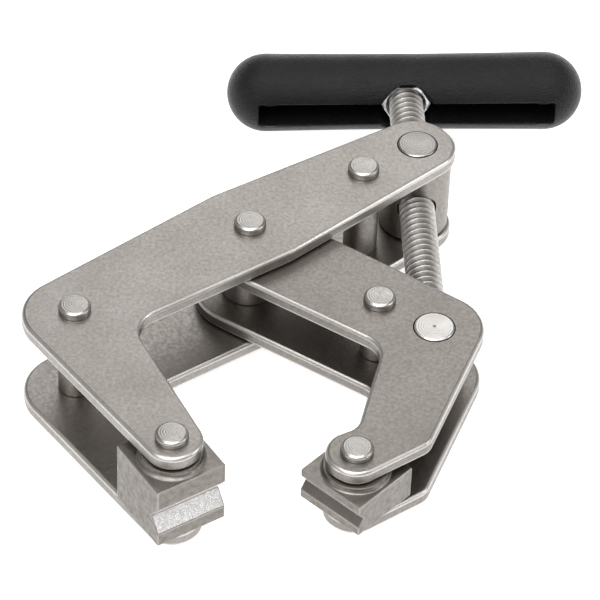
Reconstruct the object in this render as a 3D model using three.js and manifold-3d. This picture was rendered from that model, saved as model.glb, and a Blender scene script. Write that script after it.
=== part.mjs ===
// A two-arm cantilever clamp, lying flat. Two pairs of flat steel arms cross at a riveted pivot
// like scissors. A screw with a T-handle runs through a threaded trunnion on the outer arm and
// ends, captive, in a swivel trunnion on the inner arm, so turning it drives the two short tails
// apart and closes the swivelling jaws at the ends of the two legs.
// Millimetres, +Z up. X runs from the outer jaw to the inner jaw, Y from the jaws to the handle.
import * as THREE from "three";
import { mergeVertices } from "three/addons/utils/BufferGeometryUtils.js";
import Module from "manifold-3d";

const wasm = await Module();
wasm.setup();

const degrees = THREE.MathUtils.degToRad;

// Plate pairs. Heights are measured from the middle plane, which every piece is symmetric about.
const PLATE_THICKNESS = 3.2;
const OUTER_PLATE_TOP = 11.85;
const INNER_PLATE_TOP = 8.3;
const OUTER_PLATE_FLOOR = OUTER_PLATE_TOP - PLATE_THICKNESS;
const INNER_PLATE_FLOOR = INNER_PLATE_TOP - PLATE_THICKNESS;
const FIT_GAP = 0.3;

// Each arm has its own axes: x along its beam from the pivot towards the screw, y square to it.
const OUTER_BEAM_ANGLE = degrees(38.7);
const INNER_BEAM_ANGLE = degrees(-32.5);
const ELBOW = [-42.4, 0];
const REAR = [28.7, 0];
const THREADED_END = [42.7, 0];
const OUTER_JAW_PIN = [-47.4, -39.3];
const INNER_POST = [31.1, 0];
const SWIVEL_END = [43.9, 0];
const INNER_JAW_PIN = [50.4, -37.3];

// Outlines as corners, each with the radius that rounds it, in the arm's own axes.
const OUTER_OUTLINE = [
  [-52.9, 9.4, 10],
  [-0.5, 11.9, 14],
  [50.3, 7.5, 7.6],
  [50.3, -7.3, 7.4],
  [2.5, -10.9, 14],
  [-35.6, -9.2, 6.35],
  [-42.4, -45, 5.6],
  [-52.9, -45, 5.4],
];
const INNER_OUTLINE = [
  [-10.9, 10.3, 10.2],
  [-10.9, -10.9, 10.6],
  [38.5, -10, 5.8],
  [46.8, -31.5, 4],
  [44.45, -36, 4],
  [44.45, -43.1, 5.6],
  [54.2, -43.1, 5.2],
  [60.3, -27, 4],
  [51.4, 10, 9.5],
];

// Rivets and the sleeves that they draw the plates against.
const RIVET_RADIUS = 2.4;
const RIVET_HOLE = RIVET_RADIUS + FIT_GAP;
const RIVET_HEAD_RADIUS = 3.2;
const RIVET_HEAD_HEIGHT = 1.7;
const RIVET_EDGE_RADIUS = 0.8;
const SLEEVE_RADIUS = 3.5;
const PIVOT_BUSH_RADIUS = 5.5;

// Jaws: square blocks turned about their rivets, a V-groove milled along each working face.
const JAW_WIDTH = 15;
const JAW_FRONT = 7.3;
const JAW_BACK = 7.7;
const OUTER_JAW = {
  pin: OUTER_JAW_PIN,
  facing: degrees(-55.5),
  halfHeight: 7.1,
  bossTop: OUTER_PLATE_FLOOR - FIT_GAP,
  bossRadius: 5.9,
  bossRoot: 7.1,
  grooveLevel: -0.8,
  grooveDepth: 2.5,
  grooveHalfWidth: 3.3,
};
const INNER_JAW = {
  pin: INNER_JAW_PIN,
  facing: degrees(229),
  halfHeight: 3.7,
  bossTop: INNER_PLATE_FLOOR - FIT_GAP,
  bossRadius: 6.4,
  bossRoot: 7.1,
  grooveLevel: 0.1,
  grooveDepth: 1.45,
  grooveHalfWidth: 1.85,
};

// Screw and trunnions. Distances along the screw are measured from the swivel trunnion's axis.
const SCREW_RADIUS = 3.7;
const SCREW_BORE = SCREW_RADIUS + 0.35;
const SCREW_START = 6.9;
const SCREW_CHAMFER = 0.6;
const THREADED_DRUM_RADIUS = 7.2;
const SWIVEL_DRUM_RADIUS = 6.4;
const TRUNNION_PIN_RADIUS = 4;
const TRUNNION_PIN_PROUD = 0.3;
const TRUNNION_HOLE = TRUNNION_PIN_RADIUS + FIT_GAP;
const TIP_RADIUS = 3;
const TIP_BORE = TIP_RADIUS + FIT_GAP;
const TIP_END = 0.8;
const TIP_BORE_END = -4.6;
const GROOVE_START = 2.6;
const GROOVE_END = 4.8;
const GROOVE_RADIUS = 2.2;
const KEEPER_RADIUS = 0.8;
const BALL_RADIUS = 2.4;

// Handle: a moulded bar square to the screw, cored out by a long slot on the side of the clamp.
const HANDLE_DISTANCE = 31.1;
const HANDLE_LENGTH = 75.8;
const HANDLE_RADIUS = 8.3;
const HANDLE_WAIST = 0.25;
const SLOT_LENGTH = 62.8;
const SLOT_WIDTH = 5.4;
const SLOT_DEPTH = 9.5;
const POCKET_RADIUS = 5.9;
const NUT_ACROSS_CORNERS = 10.6;
const NUT_THICKNESS = 4;
const NUT_FRONT_TO_HANDLE_AXIS = 4.4;
const SCREW_END_PAST_HANDLE_AXIS = 4.6;

const ROUND_SIDES = 28;
const ARC_STEPS = 8;

const steel = { color: 0xb2aca5, roughness: 0.42, metalness: 0.9 };
const FINISHES = {
  outerPlate: steel,
  innerPlate: { ...steel, color: 0xa09991 },
  rivet: { ...steel, color: 0xc4c1bc, roughness: 0.3 },
  sleeve: { ...steel, color: 0x8f8a84, roughness: 0.5 },
  jaw: { ...steel, color: 0xa7a29c, roughness: 0.48 },
  trunnion: { ...steel, color: 0x9c9790, roughness: 0.4 },
  screw: { ...steel, color: 0xa9a59e, roughness: 0.35 },
  plastic: { color: 0x1b1b1c, roughness: 0.5, metalness: 0 },
};

// Turns a closed geometry into a solid that can be joined and cut.
function solidOf(geometry) {
  const bare = geometry.clone();
  bare.deleteAttribute("normal");
  bare.deleteAttribute("uv");
  const merged = mergeVertices(bare, 1e-4);
  return new wasm.Manifold(
    new wasm.Mesh({
      numProp: 3,
      vertProperties: merged.attributes.position.array,
      triVerts: new Uint32Array(merged.index.array),
    }),
  );
}

// Turns a solid back into a geometry with flat faces.
function geometryOf(solid) {
  const mesh = solid.getMesh();
  const geometry = new THREE.BufferGeometry();
  geometry.setAttribute("position", new THREE.BufferAttribute(mesh.vertProperties, 3));
  geometry.setIndex(new THREE.BufferAttribute(mesh.triVerts, 1));
  const flat = geometry.toNonIndexed();
  flat.computeVertexNormals();
  return flat;
}

// Joins a body with more solids, then cuts the last ones from it.
function shaped(body, joined, cut) {
  let solid = solidOf(body);
  for (const piece of joined) solid = solid.add(solidOf(piece));
  for (const piece of cut) solid = solid.subtract(solidOf(piece));
  return geometryOf(solid);
}

function piece(name, geometry, finish, position = [0, 0, 0]) {
  const mesh = new THREE.Mesh(geometry, new THREE.MeshStandardMaterial(finish));
  mesh.name = name;
  mesh.position.set(...position);
  return mesh;
}

// A closed outline whose corners [x, y, radius] are rounded, whichever way they turn.
function roundedOutline(corners) {
  const shape = new THREE.Shape();
  corners.forEach(([x, y, radius], i) => {
    const corner = new THREE.Vector2(x, y);
    const before = new THREE.Vector2(...corners.at(i - 1)).sub(corner).normalize();
    const after = new THREE.Vector2(...corners[(i + 1) % corners.length]).sub(corner).normalize();
    const half = Math.acos(before.dot(after)) / 2;
    const middle = before.clone().add(after).normalize();
    const centre = corner.clone().addScaledVector(middle, radius / Math.sin(half));
    const reach = radius / Math.tan(half);
    const start = corner.clone().addScaledVector(before, reach).sub(centre).angle();
    const end = corner.clone().addScaledVector(after, reach).sub(centre).angle();
    shape.absarc(centre.x, centre.y, radius, start, end, before.cross(after) > 0);
  });
  shape.closePath();
  return shape;
}

// A round hole as two half circles, which gives it twice the sides of a corner's arc.
function roundHole([x, y], radius) {
  const hole = new THREE.Path();
  hole.absarc(x, y, radius, 0, Math.PI);
  hole.absarc(x, y, radius, Math.PI, 2 * Math.PI);
  return hole;
}

function plateGeometry(corners, holes) {
  const shape = roundedOutline(corners);
  for (const [place, radius] of holes) shape.holes.push(roundHole(place, radius));
  const options = { depth: PLATE_THICKNESS, bevelEnabled: false, curveSegments: ARC_STEPS };
  return new THREE.ExtrudeGeometry(shape, options);
}

// A solid of revolution about Z from [radius, height] points.
function turned(profile, sides = ROUND_SIDES) {
  const points = profile.map(([radius, height]) => new THREE.Vector2(radius, height));
  return new THREE.LatheGeometry(points, sides).rotateX(Math.PI / 2);
}

function cylinder(radius, bottom, top, sides = ROUND_SIDES) {
  return turned([[0, bottom], [radius, bottom], [radius, top], [0, top]], sides);
}

// Moves a shape made about Z so that its axis lies along the screw, its heights along +Y.
function alongScrew(geometry) {
  return geometry.rotateX(-Math.PI / 2);
}

function sleeveGeometry(radius, halfHeight) {
  return turned([
    [RIVET_HOLE, -halfHeight],
    [radius, -halfHeight],
    [radius, halfHeight],
    [RIVET_HOLE, halfHeight],
    [RIVET_HOLE, -halfHeight],
  ]);
}

// A rivet with a flat-domed head on both sides of a stack of the given half height.
function rivetGeometry(stack) {
  const side = stack + RIVET_HEAD_HEIGHT - RIVET_EDGE_RADIUS;
  const upper = [[RIVET_RADIUS, stack], [RIVET_HEAD_RADIUS, stack]];
  for (const turn of [0, 30, 60, 90]) {
    const inset = RIVET_EDGE_RADIUS * (1 - Math.cos(degrees(turn)));
    const rise = RIVET_EDGE_RADIUS * Math.sin(degrees(turn));
    upper.push([RIVET_HEAD_RADIUS - inset, side + rise]);
  }
  upper.push([0, stack + RIVET_HEAD_HEIGHT]);
  const lower = upper.map(([radius, height]) => [radius, -height]).reverse();
  return turned([...lower, ...upper]);
}

// A jaw about its rivet, working face towards +X: a grooved block with a filleted boss
// on its upper and lower side, which runs against the plates.
function jawGeometry(jaw) {
  const { halfHeight, bossTop, grooveLevel, grooveDepth, grooveHalfWidth } = jaw;
  const block = new THREE.BoxGeometry(JAW_FRONT + JAW_BACK, JAW_WIDTH, 2 * halfHeight);
  block.translate((JAW_FRONT - JAW_BACK) / 2, 0, 0);
  const neck = (jaw.bossRoot - jaw.bossRadius) / 3;
  const rise = (bossTop - halfHeight) / 2;
  const boss = turned([
    [0, -bossTop],
    [jaw.bossRadius, -bossTop],
    [jaw.bossRadius + neck, -halfHeight - rise],
    [jaw.bossRoot, -halfHeight],
    [jaw.bossRoot, halfHeight],
    [jaw.bossRadius + neck, halfHeight + rise],
    [jaw.bossRadius, bossTop],
    [0, bossTop],
  ]);
  const groove = new THREE.Shape();
  groove.moveTo(JAW_FRONT - grooveDepth, grooveLevel);
  groove.lineTo(JAW_FRONT + grooveDepth, grooveLevel - 2 * grooveHalfWidth);
  groove.lineTo(JAW_FRONT + grooveDepth, grooveLevel + 2 * grooveHalfWidth);
  groove.closePath();
  const cutter = new THREE.ExtrudeGeometry(groove, { depth: 2 * JAW_WIDTH, bevelEnabled: false });
  cutter.translate(0, 0, -JAW_WIDTH).rotateX(Math.PI / 2);
  return shaped(block, [boss], [cutter, cylinder(RIVET_HOLE, -bossTop - 1, bossTop + 1)]);
}

// The nut of the screw: a drum between the outer plates, its two pins turning in them.
function threadedTrunnionGeometry() {
  const pin = OUTER_PLATE_TOP + TRUNNION_PIN_PROUD;
  const drum = OUTER_PLATE_FLOOR - FIT_GAP;
  const body = cylinder(THREADED_DRUM_RADIUS, -drum, drum);
  const pins = cylinder(TRUNNION_PIN_RADIUS, -pin, pin);
  const through = 2 * THREADED_DRUM_RADIUS;
  const bore = alongScrew(cylinder(SCREW_BORE, -through, through));
  return shaped(body, [pins], [bore]);
}

// The sideways place of the keeper pin, which runs in the groove of the screw's tip.
const KEEPER_OFFSET = GROOVE_RADIUS + FIT_GAP + KEEPER_RADIUS;
const KEEPER_DISTANCE = (GROOVE_START + GROOVE_END) / 2;

// The screw's thrust seat: a drum between the inner plates with a blind bore for the tip.
function swivelTrunnionGeometry() {
  const pin = INNER_PLATE_TOP + TRUNNION_PIN_PROUD;
  const drum = INNER_PLATE_FLOOR - FIT_GAP;
  const body = cylinder(SWIVEL_DRUM_RADIUS, -drum, drum);
  const pins = cylinder(TRUNNION_PIN_RADIUS, -pin, pin);
  const bore = alongScrew(cylinder(TIP_BORE, TIP_BORE_END, 2 * SWIVEL_DRUM_RADIUS));
  const keeperHole = cylinder(KEEPER_RADIUS + FIT_GAP, -pin, pin, 16);
  keeperHole.translate(KEEPER_OFFSET, KEEPER_DISTANCE, 0);
  return shaped(body, [pins], [bore, keeperHole]);
}

function spindleGeometry(handleAxis) {
  const end = handleAxis + SCREW_END_PAST_HANDLE_AXIS;
  return alongScrew(
    turned([
      [0, TIP_END],
      [TIP_RADIUS, TIP_END],
      [TIP_RADIUS, GROOVE_START],
      [GROOVE_RADIUS, GROOVE_START],
      [GROOVE_RADIUS, GROOVE_END],
      [TIP_RADIUS, GROOVE_END],
      [TIP_RADIUS, SCREW_START],
      [SCREW_RADIUS - SCREW_CHAMFER, SCREW_START],
      [SCREW_RADIUS, SCREW_START + SCREW_CHAMFER],
      [SCREW_RADIUS, end - SCREW_CHAMFER],
      [SCREW_RADIUS - SCREW_CHAMFER, end],
      [0, end],
    ]),
  );
}

// The nut that locks the handle, with a flat to each side of the clamp.
function lockNutGeometry(front) {
  const hexagon = cylinder(NUT_ACROSS_CORNERS / 2, front, front + NUT_THICKNESS, 6);
  hexagon.rotateZ(degrees(30));
  const bore = cylinder(SCREW_RADIUS + FIT_GAP, front - 1, front + NUT_THICKNESS + 1);
  return alongScrew(shaped(hexagon, [], [bore]));
}

// The bar of the handle about X: round ends, and a middle very slightly slimmer than the rest.
function handleBarGeometry() {
  const half = HANDLE_LENGTH / 2;
  const straight = half - HANDLE_RADIUS;
  const profile = [];
  for (let turn = 0; turn <= 90; turn += 15) {
    const angle = degrees(turn);
    profile.push([HANDLE_RADIUS * Math.sin(angle), -straight - HANDLE_RADIUS * Math.cos(angle)]);
  }
  for (let step = 1; step < 8; step += 1) {
    const along = (step / 4 - 1) * straight;
    const slim = HANDLE_WAIST * Math.cos((along / straight) * (Math.PI / 2));
    profile.push([HANDLE_RADIUS - slim, along]);
  }
  for (let turn = 90; turn >= 0; turn -= 15) {
    const angle = degrees(turn);
    profile.push([HANDLE_RADIUS * Math.sin(angle), straight + HANDLE_RADIUS * Math.cos(angle)]);
  }
  return turned(profile, 32).rotateY(Math.PI / 2);
}

// The handle at the given distance along the screw, with its slot, nut pocket and screw hole.
function handleGeometry(distance) {
  const round = SLOT_WIDTH / 4;
  const halfLength = SLOT_LENGTH / 2;
  const halfWidth = SLOT_WIDTH / 2;
  const outline = roundedOutline([
    [-halfLength, -halfWidth, round],
    [halfLength, -halfWidth, round],
    [halfLength, halfWidth, round],
    [-halfLength, halfWidth, round],
  ]);
  const options = { depth: SLOT_DEPTH + 1, bevelEnabled: false, curveSegments: 3 };
  const slot = new THREE.ExtrudeGeometry(outline, options);
  slot.translate(0, 0, -HANDLE_RADIUS - 1);
  const floor = NUT_THICKNESS - NUT_FRONT_TO_HANDLE_AXIS + FIT_GAP;
  const pocket = cylinder(POCKET_RADIUS, -HANDLE_RADIUS - 1, floor);
  const end = SCREW_END_PAST_HANDLE_AXIS + FIT_GAP;
  const screwHole = cylinder(SCREW_RADIUS + FIT_GAP, floor - 1, end);
  const cuts = [slot, pocket, screwHole].map((shape) => alongScrew(shape));
  return shaped(handleBarGeometry(), [], cuts).translate(0, distance, 0);
}

// A point of an arm's own axes in the clamp's axes, which start at the pivot.
function placed([x, y], beamAngle) {
  return new THREE.Vector2(x, y).rotateAround(new THREE.Vector2(), beamAngle);
}

function buildOuterArm() {
  const arm = new THREE.Group();
  arm.rotation.z = OUTER_BEAM_ANGLE;
  const rivetPlaces = [ELBOW, [0, 0], REAR, OUTER_JAW_PIN];
  const holes = rivetPlaces.map((place) => [place, RIVET_HOLE]);
  holes.push([THREADED_END, TRUNNION_HOLE]);
  const plate = plateGeometry(OUTER_OUTLINE, holes);
  arm.add(piece("outer_plate_upper", plate, FINISHES.outerPlate, [0, 0, OUTER_PLATE_FLOOR]));
  arm.add(piece("outer_plate_lower", plate, FINISHES.outerPlate, [0, 0, -OUTER_PLATE_TOP]));
  const names = ["elbow_rivet", "pivot_rivet", "rear_rivet", "outer_jaw_rivet"];
  names.forEach((name, i) => {
    arm.add(piece(name, rivetGeometry(OUTER_PLATE_TOP), FINISHES.rivet, [...rivetPlaces[i], 0]));
  });
  const sleeve = sleeveGeometry(SLEEVE_RADIUS, OUTER_PLATE_FLOOR);
  arm.add(piece("elbow_spacer", sleeve, FINISHES.sleeve, [...ELBOW, 0]));
  arm.add(piece("rear_spacer", sleeve, FINISHES.sleeve, [...REAR, 0]));
  return arm;
}

function buildInnerArm() {
  const arm = new THREE.Group();
  arm.rotation.z = INNER_BEAM_ANGLE;
  const holes = [[0, 0], INNER_POST, INNER_JAW_PIN].map((place) => [place, RIVET_HOLE]);
  holes.push([SWIVEL_END, TRUNNION_HOLE]);
  const plate = plateGeometry(INNER_OUTLINE, holes);
  arm.add(piece("inner_plate_upper", plate, FINISHES.innerPlate, [0, 0, INNER_PLATE_FLOOR]));
  arm.add(piece("inner_plate_lower", plate, FINISHES.innerPlate, [0, 0, -INNER_PLATE_TOP]));
  const rivet = rivetGeometry(INNER_PLATE_TOP);
  arm.add(piece("inner_post_rivet", rivet, FINISHES.rivet, [...INNER_POST, 0]));
  arm.add(piece("inner_jaw_rivet", rivet, FINISHES.rivet, [...INNER_JAW_PIN, 0]));
  const bush = sleeveGeometry(PIVOT_BUSH_RADIUS, INNER_PLATE_FLOOR);
  arm.add(piece("pivot_bush", bush, FINISHES.sleeve));
  const sleeve = sleeveGeometry(SLEEVE_RADIUS, INNER_PLATE_FLOOR);
  arm.add(piece("inner_spacer", sleeve, FINISHES.sleeve, [...INNER_POST, 0]));
  return arm;
}

function buildJaw(name, jaw, beamAngle) {
  const pin = placed(jaw.pin, beamAngle);
  const mesh = piece(name, jawGeometry(jaw), FINISHES.jaw, [pin.x, pin.y, 0]);
  mesh.rotation.z = jaw.facing;
  return mesh;
}

// The screw line from the swivel trunnion to the threaded one, as a group whose +Y is the screw.
function buildScrew() {
  const swivel = placed(SWIVEL_END, INNER_BEAM_ANGLE);
  const threaded = placed(THREADED_END, OUTER_BEAM_ANGLE);
  const direction = threaded.clone().sub(swivel);
  const reach = direction.length();
  const handleAxis = reach + HANDLE_DISTANCE;
  const nutFront = handleAxis - NUT_FRONT_TO_HANDLE_AXIS;
  const line = new THREE.Group();
  line.position.set(swivel.x, swivel.y, 0);
  line.rotation.z = direction.angle() - Math.PI / 2;
  const { trunnion, screw, rivet, plastic } = FINISHES;
  const keeperHalf = INNER_PLATE_FLOOR - FIT_GAP;
  const keeper = cylinder(KEEPER_RADIUS, -keeperHalf, keeperHalf, 16);
  const keeperPlace = [KEEPER_OFFSET, KEEPER_DISTANCE, 0];
  const ball = new THREE.SphereGeometry(BALL_RADIUS, 20, 12);
  const ballPlace = [0, TIP_END - FIT_GAP - BALL_RADIUS, 0];
  line.add(piece("threaded_trunnion", threadedTrunnionGeometry(), trunnion, [0, reach, 0]));
  line.add(piece("swivel_trunnion", swivelTrunnionGeometry(), trunnion));
  line.add(piece("spindle_keeper_pin", keeper, rivet, keeperPlace));
  line.add(piece("thrust_ball", ball, rivet, ballPlace));
  line.add(piece("spindle", spindleGeometry(handleAxis), screw));
  line.add(piece("handle_lock_nut", lockNutGeometry(nutFront), screw));
  line.add(piece("handle_grip", handleGeometry(handleAxis), plastic));
  return line;
}

// The whole clamp, moved so that the origin is under the middle of its box.
function buildClamp() {
  const clamp = new THREE.Group();
  clamp.add(
    buildOuterArm(),
    buildInnerArm(),
    buildJaw("outer_jaw", OUTER_JAW, OUTER_BEAM_ANGLE),
    buildJaw("inner_jaw", INNER_JAW, INNER_BEAM_ANGLE),
    buildScrew(),
  );
  clamp.updateMatrixWorld(true);
  const box = new THREE.Box3().setFromObject(clamp, true);
  const centre = box.getCenter(new THREE.Vector3());
  clamp.position.set(-centre.x, -centre.y, -box.min.z);
  return clamp;
}

export default buildClamp();
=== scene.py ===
"""A two-arm cantilever clamp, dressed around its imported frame.

Flat steel arms cross at a riveted pivot, grooved jaws swivel at the ends of the legs, and a
threaded spindle with a moulded T-handle drives the tails apart. Every piece is modelled at the
place and size that the frame gives, in metres, and rides on the body that the frame names.
"""

import logging
import math
from collections.abc import Callable, Iterator
from contextlib import contextmanager
from dataclasses import dataclass, field
from enum import Enum
from typing import Any

import bmesh
import bpy
from mathutils import Matrix, Vector


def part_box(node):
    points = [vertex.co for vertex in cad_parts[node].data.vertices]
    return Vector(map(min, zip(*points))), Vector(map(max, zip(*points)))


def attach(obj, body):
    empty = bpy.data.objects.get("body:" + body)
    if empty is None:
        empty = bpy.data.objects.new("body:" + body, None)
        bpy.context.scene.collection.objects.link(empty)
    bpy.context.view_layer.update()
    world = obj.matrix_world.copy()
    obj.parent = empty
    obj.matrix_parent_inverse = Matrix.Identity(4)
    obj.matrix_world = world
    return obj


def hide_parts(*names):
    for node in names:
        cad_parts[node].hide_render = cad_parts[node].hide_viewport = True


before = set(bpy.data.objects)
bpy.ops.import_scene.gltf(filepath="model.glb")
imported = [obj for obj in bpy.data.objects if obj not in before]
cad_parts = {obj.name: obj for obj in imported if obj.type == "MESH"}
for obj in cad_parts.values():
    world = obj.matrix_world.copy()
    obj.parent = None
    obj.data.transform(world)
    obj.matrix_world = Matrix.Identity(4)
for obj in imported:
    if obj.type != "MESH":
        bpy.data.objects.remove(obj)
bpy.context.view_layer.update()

LOG = logging.getLogger("clamp")
MM = 0.001
Colour = tuple[float, float, float, float]
Span = tuple[float, float]
Thing = bpy.types.Object


class Body(Enum):
    """The moving bodies of the clamp."""

    OUTER_ARM = "outer_arm"
    INNER_ARM = "inner_arm"
    OUTER_JAW = "outer_jaw"
    INNER_JAW = "inner_jaw"
    THREADED_TRUNNION = "threaded_trunnion"
    SWIVEL_TRUNNION = "swivel_trunnion"
    SPINDLE = "spindle"


class Slot(Enum):
    """The record's finishes."""

    OUTER_PLATE = "outer_plate"
    INNER_PLATE = "inner_plate"
    RIVET = "rivet"
    SLEEVE = "sleeve"
    JAW = "jaw"
    TRUNNION = "trunnion"
    SCREW = "screw"
    PLASTIC = "handle_plastic"


class Boolean(Enum):
    """How a helper solid is combined with a piece."""

    CUT = "DIFFERENCE"
    JOIN = "UNION"
    KEEP = "INTERSECT"


def middle(node: str) -> Vector:
    """The centre of a node's box."""
    low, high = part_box(node)
    return (low + high) / 2


THREADED_AXIS = middle("threaded_trunnion")
SWIVEL_AXIS = middle("swivel_trunnion")
SCREW_LINE = (THREADED_AXIS - SWIVEL_AXIS).normalized()
SCREW_TURN = math.atan2(-SCREW_LINE.x, SCREW_LINE.y)


# ---------------------------------------------------------------- shaders


class Value:
    """A socket of a shader that can be used in arithmetic, each operation adding a Math node."""

    def __init__(self, shader: "Shader", socket: bpy.types.NodeSocket) -> None:
        """Wraps one output socket of a shader."""
        self.shader = shader
        self.socket = socket

    def math(self, operation: str, *others: "Value | float") -> "Value":
        """Adds a Math node with this value as its first input.

        Args:
            operation: The Math node's operation.
            others: The further inputs, as values or numbers.

        Returns:
            The node's result.
        """
        return self.shader.maths(operation, self, *others)

    def __add__(self, other: "Value | float") -> "Value":
        """The sum of two values."""
        return self.math("ADD", other)

    __radd__ = __add__

    def __mul__(self, other: "Value | float") -> "Value":
        """The product of two values."""
        return self.math("MULTIPLY", other)

    __rmul__ = __mul__

    def __sub__(self, other: "Value | float") -> "Value":
        """This value less another."""
        return self.math("SUBTRACT", other)

    def __rsub__(self, other: float) -> "Value":
        """A number less this value."""
        return self.shader.maths("SUBTRACT", other, self)

    def __pow__(self, other: float) -> "Value":
        """This value raised to a power."""
        return self.math("POWER", other)


class Shader:
    """A node material under construction, with one Principled surface."""

    def __init__(self, name: str) -> None:
        """Starts an empty material.

        Args:
            name: The material's name.
        """
        self.material = bpy.data.materials.new(name)
        self.material.use_nodes = True
        self.tree = self.material.node_tree
        self.tree.nodes.clear()
        self.place = Value(self, self.node("ShaderNodeTexCoord").outputs["Object"])

    def node(self, kind: str, settings: dict[str, Any] | None = None, **inputs: Any) -> bpy.types.Node:
        """Adds a node, sets its options first and then its inputs.

        Args:
            kind: The node's type.
            settings: Its options.
            inputs: Values or numbers for its sockets, with _ for a space in a socket's name.

        Returns:
            The new node.
        """
        made = self.tree.nodes.new(kind)
        for option, choice in (settings or {}).items():
            setattr(made, option, choice)
        for name, given in inputs.items():
            label = name.replace("_", " ")
            socket = next(s for s in made.inputs if s.name == label and s.enabled)
            self._feed(socket, given)
        return made

    def maths(self, operation: str, *terms: Value | float) -> Value:
        """Adds a Math node.

        Args:
            operation: Its operation.
            terms: Its inputs in order, as values or numbers.

        Returns:
            The node's result.
        """
        made = self.node("ShaderNodeMath", {"operation": operation})
        for socket, term in zip(made.inputs, terms):
            self._feed(socket, term)
        return Value(self, made.outputs[0])

    def output(self, kind: str, name: str, settings: dict[str, Any] | None = None, **inputs: Any) -> Value:
        """Adds a node and returns its enabled output of that name."""
        made = self.node(kind, settings, **inputs)
        return Value(self, next(s for s in made.outputs if s.name == name and s.enabled))

    def noise(self, per_metre: float, detail: float = 2.0, place: Value | None = None) -> Value:
        """A noise over the piece.

        Args:
            per_metre: How many of its cells make a metre.
            detail: Its octaves.
            place: The coordinates that it reads, the piece's own by default.

        Returns:
            The noise, about 0.5 on average.
        """
        place = place or self.place
        return self.output("ShaderNodeTexNoise", "Fac", None, Vector=place, Scale=per_metre, Detail=detail)

    def mapped(self, centre: Vector, turn: float = 0.0, stretch: Vector = Vector((1, 1, 1))) -> Value:
        """The place on the piece seen from a centre and turned about Z.

        Args:
            centre: Where the pattern's origin goes, in metres.
            turn: The pattern's turn about Z, in radians.
            stretch: How much longer the pattern gets along its own axes.

        Returns:
            The place as a vector.
        """
        inputs = {"Location": centre, "Rotation": (0.0, 0.0, turn), "Scale": stretch}
        settings = {"vector_type": "TEXTURE"}
        return self.output("ShaderNodeMapping", "Vector", settings, Vector=self.place, **inputs)

    def axes(self, place: Value) -> tuple[Value, Value, Value]:
        """The three coordinates of a vector."""
        made = self.node("ShaderNodeSeparateXYZ", None, Vector=place)
        return tuple(Value(self, socket) for socket in made.outputs)

    def ramp(self, value: Value, low: float, high: float) -> Value:
        """A value spread so that low becomes 0 and high becomes 1, clamped."""
        inputs = {"From_Min": low, "From_Max": high}
        return self.output("ShaderNodeMapRange", "Result", None, Value=value, **inputs)

    def mixed(self, factor: Value, first: Colour | Value, second: Colour | Value) -> Value:
        """One colour turning into another as the factor rises from 0 to 1."""
        inputs = {"Factor": factor, "A": first, "B": second}
        return self.output("ShaderNodeMix", "Result", {"data_type": "RGBA"}, **inputs)

    def bump(self, height: Value, strength: float, distance: float) -> Value:
        """A normal bumped by a height, at most the given distance in metres."""
        inputs = {"Strength": strength, "Distance": distance, "Height": height}
        return self.output("ShaderNodeBump", "Normal", None, **inputs)

    def surface(self, **inputs: Any) -> bpy.types.Material:
        """Closes the material with a Principled surface.

        Args:
            inputs: Values or numbers for the surface's sockets.

        Returns:
            The material.
        """
        shown = self.output("ShaderNodeBsdfPrincipled", "BSDF", None, **inputs)
        self.node("ShaderNodeOutputMaterial", None, Surface=shown)
        return self.material

    def _feed(self, socket: bpy.types.NodeSocket, given: Any) -> None:
        """Links a value to a socket, or sets a number there.

        Args:
            socket: The input socket.
            given: The value or number.
        """
        if isinstance(given, Value):
            self.tree.links.new(given.socket, socket)
        else:
            socket.default_value = given


# ---------------------------------------------------------------- finishes


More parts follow.
